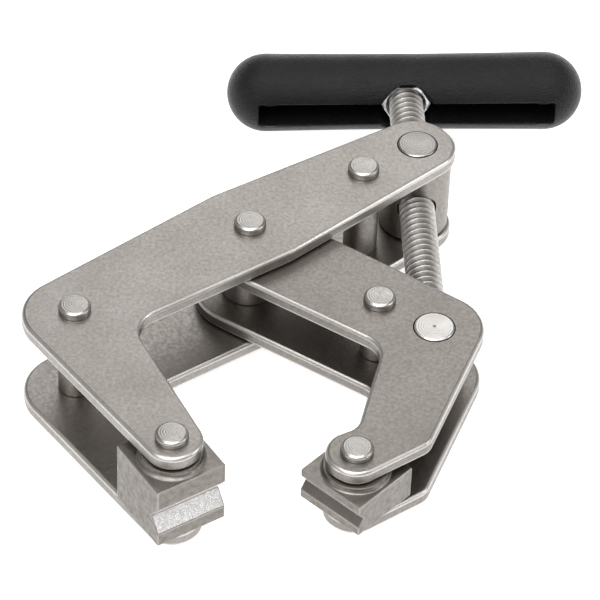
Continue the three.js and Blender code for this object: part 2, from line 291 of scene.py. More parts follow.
@dataclass(frozen=True)
class Steel:
    """Satin steel with a fine mottle, stains, straight scratches and a grain of bumps.

    A ring centre adds turning marks and a painted shade in its centre dot, and a thread root paints shade
    into the thread's root.
    """

    name: str
    dark: Colour
    light: Colour
    smooth: float = 0.3
    rough: float = 0.44
    mottle: float = 1500.0
    mottle_span: Span = (0.32, 0.68)
    mottle_tone: float = 0.6
    grain: float = 4200.0
    grain_tone: float = 0.5
    stain: float = 75.0
    stain_span: Span = (0.35, 0.75)
    stain_depth: float = 0.3
    stain_rough: float = 0.1
    bump: float = 0.02 * MM
    scratch: float = 2600.0
    scratch_turn: float = 0.6
    scratch_run: tuple[float, float, float] = (40.0, 1.0, 1.0)
    scratch_from: float = 0.66
    scratch_fade: float = 0.06
    scratch_depth: float = 0.35
    scratch_tone: float = 0.2
    scratch_rough: float = 0.08
    cover: float = 180.0
    cover_from: float = 0.5
    cover_fade: float = 0.1
    ring_centre: Vector | None = None
    ring_pitch: float = 0.5 * MM
    ring_depth: float = 1.3
    ring_wander: float = 2.0
    wander: float = 300.0
    dot_radius: float = 0.0
    dot_edge: float = 0.15 * MM
    dot_dirt: float = 0.8
    thread_root: float = 0.0
    thread_crest: float = 3.65 * MM

    def material(self) -> bpy.types.Material:
        """Builds the finish.

        Returns:
            The node material.
        """
        shader = Shader(self.name)
        mottle = shader.ramp(shader.noise(self.mottle, detail=6.0), *self.mottle_span)
        grain = shader.noise(self.grain, detail=3.0)
        scratch = self._scratches(shader)
        shade = mottle * self.mottle_tone + grain * self.grain_tone - scratch * self.scratch_tone
        tone = shader.mixed(shade, self.dark, self.light)
        stain = shader.ramp(shader.noise(self.stain, detail=4.0), *self.stain_span) * self.stain_depth
        tone = shader.mixed(stain, tone, STAIN)
        rough = mottle * (self.smooth - self.rough) + self.rough
        rough = rough + scratch * self.scratch_rough + stain * self.stain_rough
        height = grain - scratch * self.scratch_depth
        if self.ring_centre is not None:
            rings, dot = self._rings(shader)
            height = height + rings * self.ring_depth
            # Painted shade in the dot that the lathe's centre left.
            tone = shader.mixed(dot, tone, RECESS_SHADE)
        if self.thread_root:
            # Painted shade in the thread's root, fading out towards the crest.
            tone = shader.mixed(self._thread_wear(shader), RECESS_SHADE, tone)
        normal = shader.bump(height, 1.0, self.bump)
        return shader.surface(Base_Color=tone, Metallic=1.0, Roughness=rough, Normal=normal)

    def _thread_wear(self, shader: Shader) -> Value:
        """How much painted shade the thread gets: most at its root, none at its crest.

        Args:
            shader: The material under construction.

        Returns:
            0 at the root, rising to 1 at the crest.
        """
        x, _, z = shader.axes(shader.mapped(SWIVEL_AXIS, SCREW_TURN))
        radius = (x * x + z * z) ** 0.5
        return shader.ramp(radius, self.thread_root, self.thread_crest)

    def _scratches(self, shader: Shader) -> Value:
        """Long thin lines in one direction, broken up by a cloud.

        Args:
            shader: The material under construction.

        Returns:
            1 on a scratch and 0 beside it.
        """
        long = shader.mapped(Vector(), self.scratch_turn, Vector(self.scratch_run))
        lines = shader.noise(self.scratch, detail=1.0, place=long)
        lines = shader.ramp(lines, self.scratch_from, self.scratch_from + self.scratch_fade)
        cover = shader.noise(self.cover, detail=2.0)
        return lines * shader.ramp(cover, self.cover_from, self.cover_from + self.cover_fade)

    def _rings(self, shader: Shader) -> tuple[Value, Value]:
        """The turning marks round the centre, and the dot that the lathe's centre left.

        Args:
            shader: The material under construction.

        Returns:
            The height of the marks, and how much painted shade the dot gets.
        """
        x, y, _ = shader.axes(shader.mapped(self.ring_centre))
        radius = (x * x + y * y) ** 0.5
        phase = radius * (2 * math.pi / self.ring_pitch) + shader.noise(self.wander) * self.ring_wander
        dot = 1.0 - shader.ramp(radius, self.dot_radius, self.dot_radius + self.dot_edge)
        return phase.math("SINE") * 0.5 + 0.5, dot * (self.dot_dirt if self.dot_radius else 0.0)


@dataclass(frozen=True)
class Plastic:
    """Black moulded plastic with a fine leather grain."""

    name: str = "BlackPlastic"
    dark: Colour = (0.003, 0.003, 0.0032, 1.0)
    light: Colour = (0.007, 0.007, 0.0074, 1.0)
    smooth: float = 0.25
    rough: float = 0.36
    cloud: float = 90.0
    cloud_span: Span = (0.3, 0.7)
    grain: float = 2800.0
    fine_share: float = 1.6
    cell_height: float = 0.6
    fine_height: float = 0.7
    bump: float = 0.22 * MM
    bump_strength: float = 0.8
    shine: float = 0.16

    def material(self) -> bpy.types.Material:
        """Builds the finish.

        Returns:
            The node material.
        """
        shader = Shader(self.name)
        pattern = {"Vector": shader.place, "Scale": self.grain}
        cells = shader.output("ShaderNodeTexVoronoi", "Distance", None, **pattern)
        fine = shader.noise(self.grain * self.fine_share, detail=4.0)
        cloud = shader.ramp(shader.noise(self.cloud, detail=4.0), *self.cloud_span)
        tone = shader.mixed(cloud * 0.5 + fine * 0.5, self.dark, self.light)
        rough = cloud * (self.smooth - self.rough) + self.rough
        height = cells * self.cell_height + fine * self.fine_height
        normal = shader.bump(height, self.bump_strength, self.bump)
        look = {"Base_Color": tone, "Roughness": rough, "Specular_IOR_Level": self.shine}
        return shader.surface(**look, Normal=normal)


STEEL_DARK: Colour = (0.238, 0.221, 0.205, 1.0)
STEEL_LIGHT: Colour = (0.330, 0.309, 0.291, 1.0)
BRIGHT_DARK: Colour = (0.42, 0.405, 0.385, 1.0)
BRIGHT_LIGHT: Colour = (0.60, 0.585, 0.565, 1.0)
RIVET_DARK: Colour = (0.335, 0.320, 0.303, 1.0)
RIVET_LIGHT: Colour = (0.425, 0.410, 0.392, 1.0)
PIN_TONE: Colour = (0.31, 0.298, 0.285, 1.0)
EDGE_DARK: Colour = (0.46, 0.445, 0.425, 1.0)
EDGE_LIGHT: Colour = (0.55, 0.535, 0.515, 1.0)
DULL_DARK: Colour = (0.23, 0.214, 0.199, 1.0)
DULL_LIGHT: Colour = (0.35, 0.328, 0.308, 1.0)
# Painted shade: the darkening put into the thread's root and the lathe centre's dot.
RECESS_SHADE: Colour = (0.11, 0.10, 0.092, 1.0)
STAIN: Colour = (0.165, 0.144, 0.124, 1.0)
# Painted highlight: a near-white steel that lights the outer jaw's groove flanks and the nut that sits in
# its pocket's shade.
PAINTED_SHEEN_DARK: Colour = (0.62, 0.61, 0.60, 1.0)
PAINTED_SHEEN_LIGHT: Colour = (0.92, 0.91, 0.90, 1.0)
INNER_DARK: Colour = (0.18, 0.166, 0.152, 1.0)
INNER_LIGHT: Colour = (0.255, 0.237, 0.22, 1.0)
TRUNNION_DARK: Colour = (0.19, 0.175, 0.16, 1.0)
TRUNNION_LIGHT: Colour = (0.28, 0.26, 0.24, 1.0)
FLOOR_DARK: Colour = (0.53, 0.53, 0.53, 1.0)
FLOOR_LIGHT: Colour = (0.57, 0.57, 0.57, 1.0)
WHITE: Colour = (1.0, 1.0, 1.0, 1.0)
JAW_DARK: Colour = (0.148, 0.135, 0.122, 1.0)
JAW_LIGHT: Colour = (0.225, 0.208, 0.192, 1.0)

OUTER_STEEL = Steel("OuterPlateSteel", STEEL_DARK, STEEL_LIGHT)
INNER_STEEL = Steel("InnerPlateSteel", INNER_DARK, INNER_LIGHT, scratch_turn=-0.5)
WORN_EDGE = Steel("WornEdge", EDGE_DARK, EDGE_LIGHT, rough=0.4, bump=0.008 * MM, scratch_depth=0.05)
SLEEVE_STEEL = Steel("SleeveSteel", DULL_DARK, DULL_LIGHT, rough=0.5)
JAW_STEEL = Steel("JawSteel", JAW_DARK, JAW_LIGHT, rough=0.5, mottle=900.0)
JAW_EDGE = Steel("JawEdge", STEEL_DARK, STEEL_LIGHT, rough=0.4)
# The groove flanks' milling streaks are real; their near-white tone is a painted highlight.
MILLED_SHEEN_STEEL = Steel(
    "MilledSteel",
    PAINTED_SHEEN_DARK,
    PAINTED_SHEEN_LIGHT,
    stain_depth=0.1,
    scratch_depth=1.6,
    scratch_run=(1.0, 1.0, 40.0),
    scratch_from=0.52,
    cover_from=0.2,
)
# The nut is painted near white, a painted highlight over the shade of the grip's pocket.
NUT_SHEEN_STEEL = Steel("NutSteel", PAINTED_SHEEN_DARK, PAINTED_SHEEN_LIGHT, stain_depth=0.15, scratch_depth=0.1)
TRUNNION_STEEL = Steel("TrunnionSteel", TRUNNION_DARK, TRUNNION_LIGHT)
SCREW_STEEL = Steel("ScrewSteel", STEEL_LIGHT, BRIGHT_DARK, smooth=0.24, rough=0.34, grain=6000.0)
THREAD_STEEL = Steel(
    "ThreadSteel",
    STEEL_LIGHT,
    BRIGHT_LIGHT,
    smooth=0.34,
    rough=0.42,
    bump=0.006 * MM,
    thread_root=2.7 * MM,
)
BALL_STEEL = Steel("BallSteel", STEEL_DARK, BRIGHT_LIGHT, smooth=0.1, rough=0.18, bump=0.005 * MM)


# ---------------------------------------------------------------- modelling

SIDES = 96
FEW_SIDES = 64
PIN_SIDES = 32
OVERSHOOT = 1.0
MERGE = 0.002 * MM
# A face is flat when its normal lies along Z by more than FLAT, and upright below UPRIGHT.
FLAT = 0.9
UPRIGHT = 0.5
SMOOTH_ANGLE = math.radians(32)
Profile = list[tuple[float, float]]


def pick(*things: Thing) -> None:
    """Selects only the given objects and makes the first one active.

    Args:
        things: The objects.
    """
    bpy.ops.object.select_all(action="DESELECT")
    for thing in things:
        thing.select_set(True)
    bpy.context.view_layer.objects.active = things[0]


@contextmanager
def editing(thing: Thing) -> Iterator[bmesh.types.BMesh]:
    """Opens an object in edit mode with every face selected, and closes it again.

    Args:
        thing: The object.

    Returns:
        The mesh under edit.
    """
    pick(thing)
    bpy.ops.object.mode_set(mode="EDIT")
    bpy.ops.mesh.select_mode(type="FACE")
    bpy.ops.mesh.select_all(action="SELECT")
    yield bmesh.from_edit_mesh(thing.data)
    bpy.ops.object.mode_set(mode="OBJECT")


def sealed(thing: Thing) -> Thing:
    """Merges doubled points and turns every face outwards.

    Args:
        thing: The object.

    Returns:
        The same object.
    """
    with editing(thing):
        bpy.ops.mesh.remove_doubles(threshold=MERGE)
        bpy.ops.mesh.normals_make_consistent(inside=False)
    return thing


def modified(thing: Thing, kind: str, **settings: Any) -> Thing:
    """Adds a modifier with the given settings and applies it.

    Args:
        thing: The object.
        kind: The modifier's type.
        settings: Its options.

    Returns:
        The same object.
    """
    pick(thing)
    modifier = thing.modifiers.new(kind, kind)
    for option, choice in settings.items():
        setattr(modifier, option, choice)
    bpy.ops.object.modifier_apply(modifier=modifier.name)
    return thing


def polyline(name: str, profile: Profile) -> Thing:
    """Makes an open line of edges beside Z, to be turned about it.

    Args:
        name: The object's name.
        profile: Its (radius, height) points in millimetres.

    Returns:
        The line.
    """
    mesh = bpy.data.meshes.new(name)
    points = [(radius * MM, 0.0, height * MM) for radius, height in profile]
    mesh.from_pydata(points, [(i, i + 1) for i in range(len(points) - 1)], [])
    thing = bpy.data.objects.new(name, mesh)
    bpy.context.collection.objects.link(thing)
    return thing


def lathed(name: str, profile: Profile, sides: int = SIDES) -> Thing:
    """Makes a solid of revolution about Z.

    Args:
        name: The object's name.
        profile: Its (radius, height) points in millimetres.
        sides: How many steps the turn has.

    Returns:
        The closed solid.
    """
    thing = polyline(name, profile)
    merging = {"use_merge_vertices": True, "merge_threshold": MERGE}
    modified(thing, "SCREW", steps=sides, render_steps=sides, **merging)
    return sealed(thing)


def cylinder(radius: float, bottom: float, top: float, sides: int = SIDES) -> Thing:
    """Makes a cylinder about Z.

    Args:
        radius: Its radius in millimetres.
        bottom: The height of its lower end in millimetres.
        top: The height of its upper end in millimetres.
        sides: How many sides it has.

    Returns:
        The cylinder.
    """
    place = (0.0, 0.0, (bottom + top) / 2 * MM)
    size = {"radius": radius * MM, "depth": (top - bottom) * MM}
    bpy.ops.mesh.primitive_cylinder_add(vertices=sides, location=place, **size)
    return settled(bpy.context.object)


def cube(low: tuple[float, float, float], high: tuple[float, float, float]) -> Thing:
    """Makes a box.

    Args:
        low: Its lowest corner in millimetres.
        high: Its highest corner in millimetres.

    Returns:
        The box.
    """
    place = (Vector(low) + Vector(high)) * (MM / 2)
    size = (Vector(high) - Vector(low)) * MM
    bpy.ops.mesh.primitive_cube_add(size=1.0, location=place, scale=size)
    return settled(bpy.context.object)


def settled(thing: Thing, place: Matrix | None = None) -> Thing:
    """Moves an object and applies the move, so that its place is in its mesh.

    Args:
        thing: The object.
        place: Where it goes, or nothing to apply the place that it has.

    Returns:
        The same object.
    """
    pick(thing)
    if place is not None:
        thing.matrix_world = place
    bpy.ops.object.transform_apply(location=True, rotation=True, scale=True)
    return thing


def combined(thing: Thing, helper: Thing, how: Boolean) -> Thing:
    """Combines an object with a helper solid and removes the helper.

    Args:
        thing: The object.
        helper: The helper solid.
        how: Whether the helper is cut out or joined, or only what lies inside it stays.

    Returns:
        The same object.
    """
    modified(thing, "BOOLEAN", object=helper, operation=how.value, solver="EXACT")
    bpy.data.objects.remove(helper)
    return thing


def painted(thing: Thing, *finishes: Steel | Plastic) -> Thing:
    """Gives an object the materials of its finishes, made once and shared.

    Args:
        thing: The object.
        finishes: Its finishes, in the order of its material slots.

    Returns:
        The same object.
    """
    thing.data.materials.clear()
    for finish in finishes:
        made = bpy.data.materials.get(finish.name) or finish.material()
        thing.data.materials.append(made)
    return thing


def repaint(thing: Thing, index: int, chosen: Callable[[Any], bool]) -> None:
    """Gives some faces another of the object's materials.

    Args:
        thing: The object.
        index: The material's slot.
        chosen: Whether a face gets it.
    """
    with editing(thing) as mesh:
        bpy.ops.mesh.select_all(action="DESELECT")
        for face in mesh.faces:
            face.select_set(chosen(face))
        thing.active_material_index = index
        bpy.ops.object.material_slot_assign()


def finished(thing: Thing, name: str, body: Body, slot: Slot, *nodes: str) -> Thing:
    """Args:
        thing: The piece, with its materials.
        name: Its final name.
        body: The body that it rides on.
        slot: The record's finish for it; not used.
        nodes: The nodes that it stands for.

    Returns:
        The piece.
    """
    thing.name = name
    thing.data.name = name
    pick(thing)
    bpy.ops.object.shade_smooth_by_angle(angle=SMOOTH_ANGLE)
    modified(thing, "WEIGHTED_NORMAL", keep_sharp=True)
    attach(thing, body.value)
    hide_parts(*nodes)
    LOG.info("%s: %d faces", name, len(thing.data.polygons))
    return thing


def arc(centre: tuple[float, float], radius: float, start: float, end: float, steps: int = 6) -> Profile:
    """Points of an arc from one angle to another, in degrees."""
    turns = [math.radians(start + (end - start) * step / steps) for step in range(steps + 1)]
    return [(centre[0] + radius * math.cos(t), centre[1] + radius * math.sin(t)) for t in turns]


def mirrored(upper: Profile) -> Profile:
    """A profile's upper half together with its mirror image below, from bottom to top."""
    return [(radius, -height) for radius, height in reversed(upper)] + upper


def title(node: str) -> str:
    """The name of the piece that stands for a node."""
    return "".join(word.title() for word in node.split("_"))


def half_height(node: str) -> float:
    """Half the height of a node's box, in millimetres."""
    low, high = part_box(node)
    return (high.z - low.z) / 2 / MM


def on_screw(distance: float = 0.0) -> Matrix:
    """The place whose Z runs along the screw, a distance in millimetres from the swivel axis."""
    moved = Matrix.Translation(SWIVEL_AXIS + SCREW_LINE * distance * MM)
    return moved @ Matrix.Rotation(SCREW_TURN, 4, "Z") @ Matrix.Rotation(-math.pi / 2, 4, "X")


# ---------------------------------------------------------------- sub-assemblies


@dataclass
class PlatePair:
    """Two flat arms cut from plate, with every rim rounded by the die."""

    name: str
    body: Body
    slot: Slot
    finish: Steel
    rivets: tuple[str, ...]
    trunnion: str
    rivet_hole: float = 2.7
    trunnion_hole: float = 4.2
    hole_reach: float = 5.0
    rim: float = 0.8
    rim_steps: int = 4
    rim_slope: Span = (0.05, 0.95)
    flatness: float = math.radians(0.5)

    def build(self) -> list[Thing]:
        """Makes both plates."""
        return [self._plate("upper"), self._plate("lower")]

    def _plate(self, side: str) -> Thing:
        """Makes one plate from a merged copy of its node.

        Args:
            side: Which of the two, upper or lower.

        Returns:
            The plate.
        """
        node = f"{self.name}_{side}"
        plate = bpy.data.objects.new(node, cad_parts[node].data.copy())
        bpy.context.collection.objects.link(plate)
        painted(sealed(plate), self.finish, WORN_EDGE)
        self._fill_holes(plate)
        self._round_rim(plate, 1.0)
        self._round_rim(plate, -1.0)
        low, high = self.rim_slope
        repaint(plate, 1, lambda face: low < abs(face.normal.z) < high)
        for rivet in self.rivets:
            self._drill(plate, rivet, self.rivet_hole)
        self._drill(plate, self.trunnion, self.trunnion_hole)
        return finished(plate, title(node), self.body, self.slot, node)

    def _fill_holes(self, plate: Thing) -> None:
        """Closes every hole, so that the plate is rounded as a blank before it is drilled.

        Args:
            plate: The plate.
        """
        centres = [middle(node) for node in (*self.rivets, self.trunnion)]
        with editing(plate) as mesh:
            bpy.ops.mesh.select_all(action="DESELECT")
            for face in mesh.faces:
                near = min((face.calc_center_median() - centre).xy.length for centre in centres)
                face.select_set(abs(face.normal.z) < UPRIGHT and near < self.hole_reach * MM)
            bpy.ops.mesh.delete(type="FACE")
            bpy.ops.mesh.select_all(action="SELECT")
            bpy.ops.mesh.fill_holes(sides=0)
            bpy.ops.mesh.dissolve_limited(angle_limit=self.flatness)

    def _drill(self, plate: Thing, node: str, radius: float) -> None:
        """Drills a hole through the plate at a node's axis.

        Args:
            plate: The plate.
            node: The node.
            radius: The hole's radius in millimetres.
        """
        reach = middle(node).z / MM
        drill = cylinder(radius, -reach, reach)
        combined(plate, settled(drill, Matrix.Translation(middle(node))), Boolean.CUT)

    def _round_rim(self, plate: Thing, side: float) -> None:
        """Lowers one face of the plate and brings it back up in insets along a quarter circle.

        Args:
            plate: The plate.
            side: 1 for its upper face, -1 for its lower.
        """
        quarter = arc((0.0, 0.0), self.rim, 0, 90, self.rim_steps)
        with editing(plate) as mesh:
            bpy.ops.mesh.select_all(action="DESELECT")
            for face in mesh.faces:
                face.select_set(face.normal.z * side > FLAT)
            bpy.ops.transform.translate(value=(0.0, 0.0, -side * self.rim * MM))
            for (inner, low), (outer, high) in zip(quarter, quarter[1:]):
                bpy.ops.mesh.inset(thickness=(inner - outer) * MM, depth=(high - low) * MM)


@dataclass
class Rivets:
    """Headed rivets with low domes and turning marks, each on its body."""

    places: dict[str, Body]
    radius: float = 2.4
    head_radius: float = 3.2
    head_height: float = 1.7
    edge_radius: float = 0.75
    dome: float = 0.12
    dome_steps: int = 4
    foot_break: float = 0.12

    def build(self) -> list[Thing]:
        """Makes all rivets."""
        return [self._rivet(node, body) for node, body in self.places.items()]

    def _rivet(self, node: str, body: Body) -> Thing:
        """Makes one rivet through its whole stack.

        Args:
            node: The rivet's node.
            body: The body that it rides on.

        Returns:
            The rivet.
        """
        top = half_height(node)
        stack = top - self.head_height
        edge_level = top - self.dome - self.edge_radius
        edge = arc((self.head_radius - self.edge_radius, edge_level), self.edge_radius, 0, 90)
        shares = [step / self.dome_steps for step in reversed(range(self.dome_steps))]
        crown = [(edge[-1][0] * share, top - self.dome * share * share) for share in shares]
        foot = [(self.radius, stack), (self.head_radius - self.foot_break, stack)]
        foot += [(self.head_radius, stack + self.foot_break)]
        rivet = lathed(node, mirrored(foot + edge + crown), FEW_SIDES)
        settled(rivet, Matrix.Translation(middle(node)))
        turned = {"smooth": 0.26, "rough": 0.36, "ring_centre": middle(node)}
        painted(rivet, Steel(f"{node}_steel", RIVET_DARK, RIVET_LIGHT, **turned))
        return finished(rivet, title(node), body, Slot.RIVET, node)


@dataclass
class Sleeves:
    """Spacer tubes between the plates, drawn tight by the rivets."""

    places: dict[str, Body]
    bore: float = 2.7
    lip: float = 0.3
    lip_steps: int = 4

    def build(self) -> list[Thing]:
        """Makes all sleeves."""
        return [self._sleeve(node, body) for node, body in self.places.items()]

    def _sleeve(self, node: str, body: Body) -> Thing:
        """Makes one tube with rounded lips.

        Args:
            node: The tube's node.
            body: The body that it rides on.

        Returns:
            The tube.
        """
        low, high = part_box(node)
        radius = (high.x - low.x) / 2 / MM
        top = half_height(node)
        outside = arc((radius - self.lip, top - self.lip), self.lip, 0, 90, self.lip_steps)
        inside = arc((self.bore + self.lip, top - self.lip), self.lip, 90, 180, self.lip_steps)
        upper = outside + inside
        tube = lathed(node, mirrored(upper) + [(upper[-1][0], -upper[-1][1])], FEW_SIDES)
        settled(tube, Matrix.Translation(middle(node)))
        return finished(painted(tube, SLEEVE_STEEL), title(node), body, Slot.SLEEVE, node)


@dataclass
class Jaw:
    """A square jaw block with a milled V-groove and a filleted boss on both sides."""

    name: str
    body: Body
    rivet: str
    facing: float
    half_height: float
    boss_top: float
    boss_radius: float
    groove_level: float
    groove_depth: float
    groove_half_width: float
    boss_root: float = 7.1
    boss_depth: float = 0.6
    boss_rim: tuple[Span, ...] = ((0.0, 0.3), (0.1, 0.08), (0.35, 0.0))
    fillet_sink: float = 0.03
    fillet_share: float = 0.8
    width: float = 15.0
    front: float = 7.3
    back: float = 7.7
    hole: float = 2.7
    edge: float = 0.25
    edge_angle: float = math.radians(30)
    flank: Steel = MILLED_SHEEN_STEEL
    flank_slope: float = 0.3
    flank_inset: float = 0.3
    flank_area: float = 2.0

    def build(self) -> Thing:
        """Makes the jaw about its rivet, then turns it to its facing.

        Returns:
            The jaw.
        """
        side = self.width / 2
        jaw = cube((-self.back, -side, -self.half_height), (self.front, side, self.half_height))
        combined(jaw, self._groove(), Boolean.CUT)
        painted(jaw, JAW_STEEL, JAW_EDGE, self.flank)
        limits = {"limit_method": "ANGLE", "angle_limit": self.edge_angle}
        modified(jaw, "BEVEL", width=self.edge * MM, segments=3, material=1, **limits)
        combined(jaw, self._boss(1.0), Boolean.JOIN)
        combined(jaw, self._boss(-1.0), Boolean.JOIN)
        reach = self.boss_top + OVERSHOOT
        combined(jaw, cylinder(self.hole, -reach, reach, FEW_SIDES), Boolean.CUT)
        # The groove flanks take the flank finish; on the outer jaw this is a painted highlight.
        repaint(jaw, 2, self._in_groove)
        turned = Matrix.Rotation(math.radians(self.facing), 4, "Z")
        settled(jaw, Matrix.Translation(middle(self.rivet)) @ turned)
        return finished(jaw, title(self.name), self.body, Slot.JAW, self.name)

    def _groove(self) -> Thing:
        """The cutter's path: a bar on edge, stretched to the groove's depth and width.

        Returns:
            The bar.
        """
        half = 0.5
        bar = cube((-half, -self.width, -half), (half, self.width, half))
        settled(bar, Matrix.Rotation(math.pi / 4, 4, "Y"))
        corner = math.hypot(half, half)
        scale = Matrix.Diagonal((self.groove_depth / corner, 1.0, self.groove_half_width / corner, 1.0))
        centre = Vector((self.front, 0.0, self.groove_level)) * MM
        return settled(bar, Matrix.Translation(centre) @ scale)

    def _boss(self, side: float) -> Thing:
        """The boss on one side of the block, with a hollow fillet at its root.

        Args:
            side: 1 for the upper side, -1 for the lower.

        Returns:
            The boss.
        """
        foot = (0.0, self.half_height - self.boss_depth)
        rise = (self.boss_top - self.half_height) * self.fillet_share
        reach = self.boss_root - self.boss_radius
        root = self.half_height - self.fillet_sink
        curve = arc((1.0, 1.0), 1.0, 270, 180)
        fillet = [(self.boss_radius + reach * x, root + rise * y) for x, y in curve]
        rim = [(self.boss_radius - inset, self.boss_top - drop) for inset, drop in self.boss_rim]
        outline = [foot, (fillet[0][0], foot[1])] + fillet + rim + [(0.0, self.boss_top)]
        return lathed("boss", [(radius, side * height) for radius, height in outline])

    def _in_groove(self, face: bmesh.types.BMFace) -> bool:
        """Whether a face is a flank of the groove.

        Args:
            face: The face, on the jaw before it is turned.

        Returns:
            Whether it is.
        """
        place = face.calc_center_median() / MM
        sloping = abs(face.normal.z) > self.flank_slope and face.normal.x > self.flank_slope
        inside = place.x < self.front - self.flank_inset
        return sloping and inside and face.calc_area() > self.flank_area * MM * MM


@dataclass
class Trunnion:
    """A cross drum that turns on two pins in its plates, bored for the screw."""

    node: str
    body: Body
    drum_top: float
    bore: float
    bore_start: float
    drum: float = 6.4
    pin: float = 4.0
    chamfer: float = 0.35
    chamfer_steps: int = 3
    keeper: Vector | None = None
    keeper_hole: float = 1.1
    dot: float = 0.0
    pin_tone: Colour = PIN_TONE
    end_depth: float = 0.6

    def build(self) -> Thing:
        """Makes the drum, its pins and its bores.

        Returns:
            The trunnion.
        """
        top = half_height(self.node)
        quarter = (self.chamfer, 0, 90, self.chamfer_steps)
        pin = arc((self.pin - self.chamfer, top - self.chamfer), *quarter)
        drum = arc((self.drum - self.chamfer, self.drum_top - self.chamfer), *quarter)
        solid = lathed(self.node, mirrored(drum + [(self.pin, self.drum_top)] + pin + [(0.0, top)]))
        settled(solid, Matrix.Translation(middle(self.node)))
        bore = cylinder(self.bore, self.bore_start, 2 * self.drum)
        axis = on_screw()
        axis.translation = middle(self.node)
        combined(solid, settled(bore, axis), Boolean.CUT)
        if self.keeper is not None:
            hole = cylinder(self.keeper_hole, -2 * top, 2 * top, PIN_SIDES)
            combined(solid, settled(hole, Matrix.Translation(self.keeper)), Boolean.CUT)
        turned = {"smooth": 0.26, "rough": 0.36, "ring_centre": middle(self.node)}
        end = Steel(f"{self.node}_end", self.pin_tone, self.pin_tone, dot_radius=self.dot, **turned)
        painted(solid, TRUNNION_STEEL, end)
        centre, reach = middle(self.node).z, (top - self.end_depth) * MM
        low, high = centre - reach, centre + reach
        repaint(solid, 1, lambda face: not low < face.calc_center_median().z < high)
        return finished(solid, title(self.node), self.body, Slot.TRUNNION, self.node)


@dataclass
class Spindle:
    """The threaded rod with its grooved tip, and the small parts that hold it."""

    crest: float = 3.7
    pitch: float = 1.5875
    start: float = 6.9
    end: float = 86.12
    tip: float = 3.0
    tip_end: float = 0.8
    groove: tuple[float, float] = (2.6, 4.8)
    groove_radius: float = 2.2
    tip_chamfer: float = 0.3
    tip_overlap: float = 0.8
    depth_share: float = 0.58
    crest_break: float = 0.06
    run_in: float = 2.0
    spare_turns: int = 3
    steps: int = 40
    snap: float = 1e-7
    blank_over: float = 0.5
    blank_under: float = 0.9
    blank_slope: float = 1.4
    blank_skin: float = 0.01
    keeper_flat: float = 0.6
    keeper_edge: float = 0.2
    edge_steps: int = 3

    def build(self) -> list[Thing]:
        """Makes the rod, the keeper pin and the thrust ball."""
        return [self._rod(), self._keeper(), self._ball()]

    def _rod(self) -> Thing:
        """Makes the thread by winding its profile up, then squares and closes its ends.

        Returns:
            The rod.
        """
        rod = polyline("thread", self._thread_profile())
        turns = math.ceil((self.end - self.start) / self.pitch) + self.spare_turns
        winding = {"steps": self.steps, "render_steps": self.steps, "screw_offset": self.pitch * MM}
        modified(rod, "SCREW", iterations=turns, **winding)
        sealed(rod)
        self._squared(rod, self.start, -1.0)
        self._squared(rod, self.end, 1.0)
        sealed(rod)
        combined(rod, self._envelope(), Boolean.KEEP)
        combined(rod, self._tip(), Boolean.JOIN)
        settled(rod, on_screw())
        return finished(painted(rod, THREAD_STEEL), "Spindle", Body.SPINDLE, Slot.SCREW, "spindle")

    def _thread_profile(self) -> Profile:
        """One pitch of the thread: a flat root, two flanks and a crest with broken corners.

        Returns:
            Its (radius, height) points in millimetres.
        """
        root = self.crest - self.depth_share * self.pitch
        corner = self.crest - self.crest_break
        shares = [(0.0, root), (0.1, root), (0.44, corner), (0.49, self.crest), (0.61, self.crest)]
        shares += [(0.66, corner), (1.0, root)]
        return [(radius, share * self.pitch + self.start - self.run_in) for share, radius in shares]

    def _tip(self) -> Thing:
        """The plain end that the keeper pin holds, with its groove.

        Returns:
            The end, about Z.
        """
        root = self.start + self.tip_overlap
        tip = [(0.0, self.tip_end), (self.tip - self.tip_chamfer, self.tip_end)]
        tip += [(self.tip, self.tip_end + self.tip_chamfer), (self.tip, self.groove[0])]
        tip += [(self.groove_radius, self.groove[0]), (self.groove_radius, self.groove[1])]
        tip += [(self.tip, self.groove[1]), (self.tip, root), (0.0, root)]
        return lathed("tip", tip, FEW_SIDES)

    def _squared(self, rod: Thing, height: float, side: float) -> None:
        """Cuts an end of the rod square and closes it.

        Args:
            rod: The rod, about Z.
            height: The height of the cut in millimetres.
            side: 1 to clear what is above the cut, -1 to clear what is below it.
        """
        with editing(rod):
            keep = {"clear_outer": side > 0, "clear_inner": side < 0, "use_fill": True}
            plane = {"plane_co": (0, 0, height * MM), "plane_no": (0, 0, 1)}
            bpy.ops.mesh.bisect(threshold=self.snap, **plane, **keep)

    def _envelope(self) -> Thing:
        """The turned blank whose chamfers the thread runs out into.

        Returns:
            The blank, about Z.
        """
        wide, narrow = self.crest + self.blank_over, self.crest - self.blank_under
        low, high = self.start + self.blank_skin, self.end - self.blank_skin
        profile = [(0.0, low), (narrow, low), (wide, low + self.blank_slope)]
        profile += [(wide, high - self.blank_slope), (narrow, high), (0.0, high)]
        return lathed("blank", profile)

    def _keeper(self) -> Thing:
        """Makes the cross pin that runs in the tip's groove.

        Returns:
            The pin.
        """
        top = half_height("spindle_keeper_pin")
        edge = arc((self.keeper_flat, top - self.keeper_edge), self.keeper_edge, 0, 90, self.edge_steps)
        pin = lathed("keeper", mirrored(edge + [(0.0, top)]), PIN_SIDES)
        settled(pin, Matrix.Translation(middle("spindle_keeper_pin")))
        painted(pin, SCREW_STEEL)
        return finished(pin, "KeeperPin", Body.SWIVEL_TRUNNION, Slot.TRUNNION, "spindle_keeper_pin")

    def _ball(self) -> Thing:
        """Makes the thrust ball at the bottom of the blind bore.

        Returns:
            The ball.
        """
        size = {"segments": 48, "ring_count": 24, "radius": half_height("thrust_ball") * MM}
        bpy.ops.mesh.primitive_uv_sphere_add(location=middle("thrust_ball"), **size)
        ball = settled(bpy.context.object)
        painted(ball, BALL_STEEL)
        return finished(ball, "ThrustBall", Body.SWIVEL_TRUNNION, Slot.TRUNNION, "thrust_ball")


